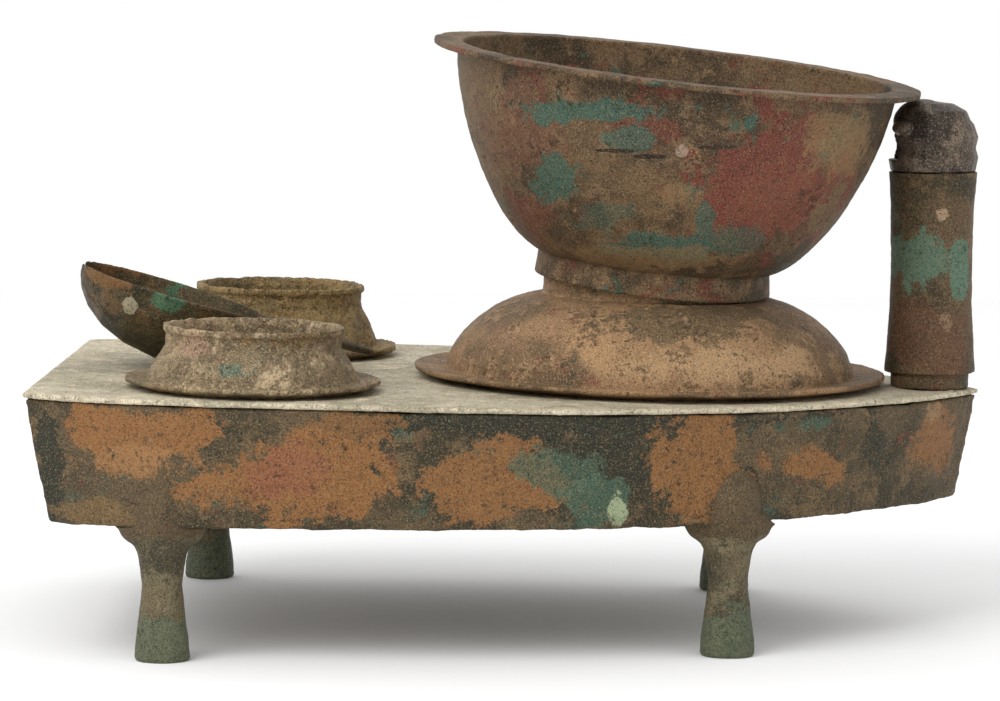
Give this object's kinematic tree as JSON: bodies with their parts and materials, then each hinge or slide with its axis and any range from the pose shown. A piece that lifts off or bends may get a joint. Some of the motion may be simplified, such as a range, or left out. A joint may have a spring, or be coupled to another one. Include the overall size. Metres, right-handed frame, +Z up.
{
  "type": "bronze cooking stove",
  "caption": "Boat-shaped bronze hearth on short legs, with a steamer on its cauldron, lift-out pots, a ladle and a chimney.",
  "frame": {"origin": "centre of the stove's footprint at the ground", "axes": "+X toward the chimney, +Z up"},
  "size_m": [0.5, 0.342, 0.3186],
  "materials": {
    "deck_plate": "patinated bronze",
    "hearth_wall": "patinated bronze",
    "hearth_floor": "patinated bronze",
    "leg_front_near": "patinated bronze",
    "leg_front_far": "patinated bronze",
    "leg_rear_near": "patinated bronze",
    "leg_rear_far": "patinated bronze",
    "cauldron": "patinated bronze",
    "near_pot": "patinated bronze",
    "far_pot": "patinated bronze",
    "chimney_collar": "patinated bronze",
    "steamer": "patinated bronze",
    "ladle": "patinated bronze",
    "chimney_pipe": "patinated bronze",
    "chimney_head": "patinated bronze"
  },
  "bodies": {
    "stove": {"deck_plate": "deck_plate", "hearth_wall": "hearth_wall", "hearth_floor": "hearth_floor", "leg_front_near": "leg_front_near", "leg_front_far": "leg_front_far", "leg_rear_near": "leg_rear_near", "leg_rear_far": "leg_rear_far", "chimney_collar": "chimney_collar", "chimney_pipe": "chimney_pipe", "chimney_head": "chimney_head"},
    "cauldron": {"cauldron": "cauldron"},
    "steamer": {"steamer": "steamer"},
    "near_pot": {"near_pot": "near_pot"},
    "far_pot": {"far_pot": "far_pot"},
    "ladle": {"ladle": "ladle"}
  },
  "joints": [
    {"name": "cauldron_lift", "type": "slide", "parent": "stove", "child": "cauldron", "axis": [0, 0, 1], "range_m": [0, 0.06]},
    {"name": "steamer_lift", "type": "slide", "parent": "cauldron", "child": "steamer", "axis": [0, 0, 1], "range_m": [0, 0.04]},
    {"name": "near_pot_lift", "type": "slide", "parent": "stove", "child": "near_pot", "axis": [0, 0, 1], "range_m": [0, 0.05]},
    {"name": "far_pot_lift", "type": "slide", "parent": "stove", "child": "far_pot", "axis": [0, 0, 1], "range_m": [0, 0.05]},
    {"name": "ladle_lift", "type": "slide", "parent": "stove", "child": "ladle", "axis": [0, 0, 1], "range_m": [0, 0.06]}
  ]
}
